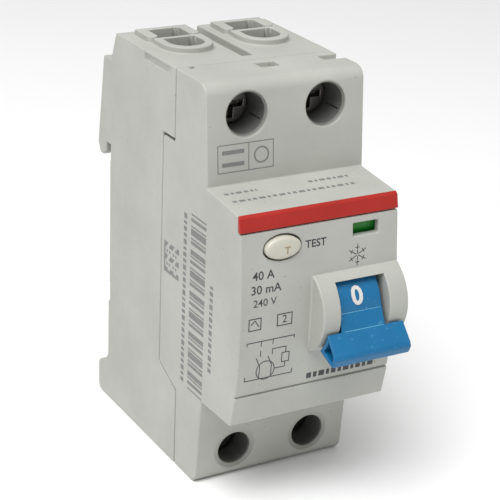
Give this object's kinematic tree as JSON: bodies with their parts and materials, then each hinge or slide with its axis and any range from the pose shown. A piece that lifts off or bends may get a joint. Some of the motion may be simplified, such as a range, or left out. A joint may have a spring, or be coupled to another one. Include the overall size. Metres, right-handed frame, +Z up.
{
  "type": "residual current device",
  "caption": "Rail-mounted residual current device with a toggle lever, test button, status flag, screw terminals and a spring clip for the rail.",
  "frame": {"origin": "middle of the flat face that sits on the mounting rail", "axes": "+Z up, +X to the right of someone facing the device, +Y back towards the rail"},
  "size_m": [0.035, 0.0734, 0.0863],
  "materials": {
    "housing": "fine moulded grain, light warm grey",
    "marking_red": "smooth red",
    "lever_blue": "satin moulded blue",
    "button_cream": "smooth cream",
    "flag_green": "smooth green, with a red half",
    "clip_plastic": "moulded grey",
    "mechanism_plastic": "dark moulded plastic",
    "steel": "plated sheet steel",
    "spring_steel": "drawn spring wire",
    "terminal_steel": "zinc-plated steel",
    "brass": "stamped strip",
    "copper": "copper with a silver button",
    "ferrite": "sintered core",
    "enamel_wire": "enamelled copper winding",
    "board_green": "laminate board",
    "sleeve_red": "insulating sleeve"
  },
  "bodies": {
    "housing": {"rear_case": "housing", "front_cover": "housing", "marking_strip": "marking_red", "lever_pin": "steel", "lever_spring": "spring_steel", "test_contact_leaf": "brass", "test_resistor": "sleeve_red", "contact_plate_top_left": "brass", "contact_plate_top_right": "brass", "contact_plate_bottom_left": "brass", "contact_plate_bottom_right": "brass", "pole_conductor_left": "sleeve_red", "pole_conductor_right": "sleeve_red", "mechanism_frame": "steel", "trip_relay": "mechanism_plastic", "toroid_core": "ferrite", "toroid_winding": "enamel_wire", "pole_barrier": "mechanism_plastic", "circuit_board": "board_green", "capacitor": "mechanism_plastic", "din_clip_spring": "spring_steel"},
    "operating_lever": {"lever": "lever_blue"},
    "toggle": {"toggle_link": "steel"},
    "flag": {"flag_indicator": "flag_green"},
    "button": {"test_button": "button_cream"},
    "contacts": {"contact_carrier": "mechanism_plastic", "moving_contact_left": "copper", "moving_contact_right": "copper", "contact_spring_left": "spring_steel", "contact_spring_right": "spring_steel"},
    "trip": {"trip_lever": "mechanism_plastic"},
    "plunger": {"relay_plunger": "steel"},
    "clip": {"din_clip": "clip_plastic"},
    "screw_top_left": {"terminal_screw_top_left": "terminal_steel"},
    "cage_top_left": {"terminal_cage_top_left": "terminal_steel"},
    "screw_top_right": {"terminal_screw_top_right": "terminal_steel"},
    "cage_top_right": {"terminal_cage_top_right": "terminal_steel"},
    "screw_bottom_left": {"terminal_screw_bottom_left": "terminal_steel"},
    "cage_bottom_left": {"terminal_cage_bottom_left": "terminal_steel"},
    "screw_bottom_right": {"terminal_screw_bottom_right": "terminal_steel"},
    "cage_bottom_right": {"terminal_cage_bottom_right": "terminal_steel"}
  },
  "joints": [
    {"name": "lever_hinge", "type": "hinge", "parent": "housing", "child": "operating_lever", "pos_m": [0.00875, -0.0545, -0.0005], "axis": [-1, 0, 0], "range_deg": [0, 45]},
    {"name": "toggle_hinge", "type": "hinge", "parent": "operating_lever", "child": "toggle", "pos_m": [0.00875, -0.04988, 0.00141], "axis": [1, 0, 0], "range_deg": [0, 75]},
    {"name": "flag_hinge", "type": "hinge", "parent": "housing", "child": "flag", "pos_m": [0.01, -0.0506, 0.0152], "axis": [1, 0, 0], "range_deg": [0, 36]},
    {"name": "contact_hinge", "type": "hinge", "parent": "housing", "child": "contacts", "pos_m": [0, -0.026, 0.006], "axis": [-1, 0, 0], "range_deg": [0, 12.2]},
    {"name": "test_button_slide", "type": "slide", "parent": "housing", "child": "button", "axis": [0, 1, 0], "range_m": [0, 0.0015], "stiffness_N_per_m": 400, "springref_m": -0.002},
    {"name": "trip_lever_hinge", "type": "hinge", "parent": "housing", "child": "trip", "pos_m": [0, -0.038, -0.0115], "axis": [1, 0, 0], "range_deg": [0, 11.1]},
    {"name": "relay_plunger_slide", "type": "slide", "parent": "housing", "child": "plunger", "axis": [0, 0, 1], "range_m": [0, 0.0009]},
    {"name": "din_clip_slide", "type": "slide", "parent": "housing", "child": "clip", "axis": [0, 0, -1], "range_m": [0, 0.0035], "stiffness_N_per_m": 500, "springref_m": -0.003, "deforming": ["din_clip_spring"]},
    {"name": "screw_turn_top_left", "type": "hinge", "parent": "housing", "child": "screw_top_left", "pos_m": [-0.00875, -0.034, 0.036], "axis": [0, 1, 0], "range_deg": [0, 1801]},
    {"name": "cage_slide_top_left", "type": "slide", "parent": "housing", "child": "cage_top_left", "axis": [0, -1, 0], "range_m": [0, 0.004]},
    {"name": "screw_turn_top_right", "type": "hinge", "parent": "housing", "child": "screw_top_right", "pos_m": [0.00875, -0.034, 0.036], "axis": [0, 1, 0], "range_deg": [0, 1801]},
    {"name": "cage_slide_top_right", "type": "slide", "parent": "housing", "child": "cage_top_right", "axis": [0, -1, 0], "range_m": [0, 0.004]},
    {"name": "screw_turn_bottom_left", "type": "hinge", "parent": "housing", "child": "screw_bottom_left", "pos_m": [-0.00875, -0.034, -0.036], "axis": [0, 1, 0], "range_deg": [0, 1801]},
    {"name": "cage_slide_bottom_left", "type": "slide", "parent": "housing", "child": "cage_bottom_left", "axis": [0, -1, 0], "range_m": [0, 0.004]},
    {"name": "screw_turn_bottom_right", "type": "hinge", "parent": "housing", "child": "screw_bottom_right", "pos_m": [0.00875, -0.034, -0.036], "axis": [0, 1, 0], "range_deg": [0, 1801]},
    {"name": "cage_slide_bottom_right", "type": "slide", "parent": "housing", "child": "cage_bottom_right", "axis": [0, -1, 0], "range_m": [0, 0.004]}
  ],
  "couplings": [
    {"joint": "toggle_hinge", "follows": "lever_hinge", "ratio": 1.6458},
    {"joint": "flag_hinge", "follows": "lever_hinge", "ratio": 0.77778},
    {"joint": "contact_hinge", "follows": "lever_hinge", "ratio": 0.26667},
    {"joint": "trip_lever_hinge", "follows": "relay_plunger_slide", "rad_per_m": 213.32},
    {"joint": "screw_turn_top_left", "follows": "cage_slide_top_left", "rad_per_m": 7854},
    {"joint": "screw_turn_top_right", "follows": "cage_slide_top_right", "rad_per_m": 7854},
    {"joint": "screw_turn_bottom_left", "follows": "cage_slide_bottom_left", "rad_per_m": 7854},
    {"joint": "screw_turn_bottom_right", "follows": "cage_slide_bottom_right", "rad_per_m": 7854}
  ]
}
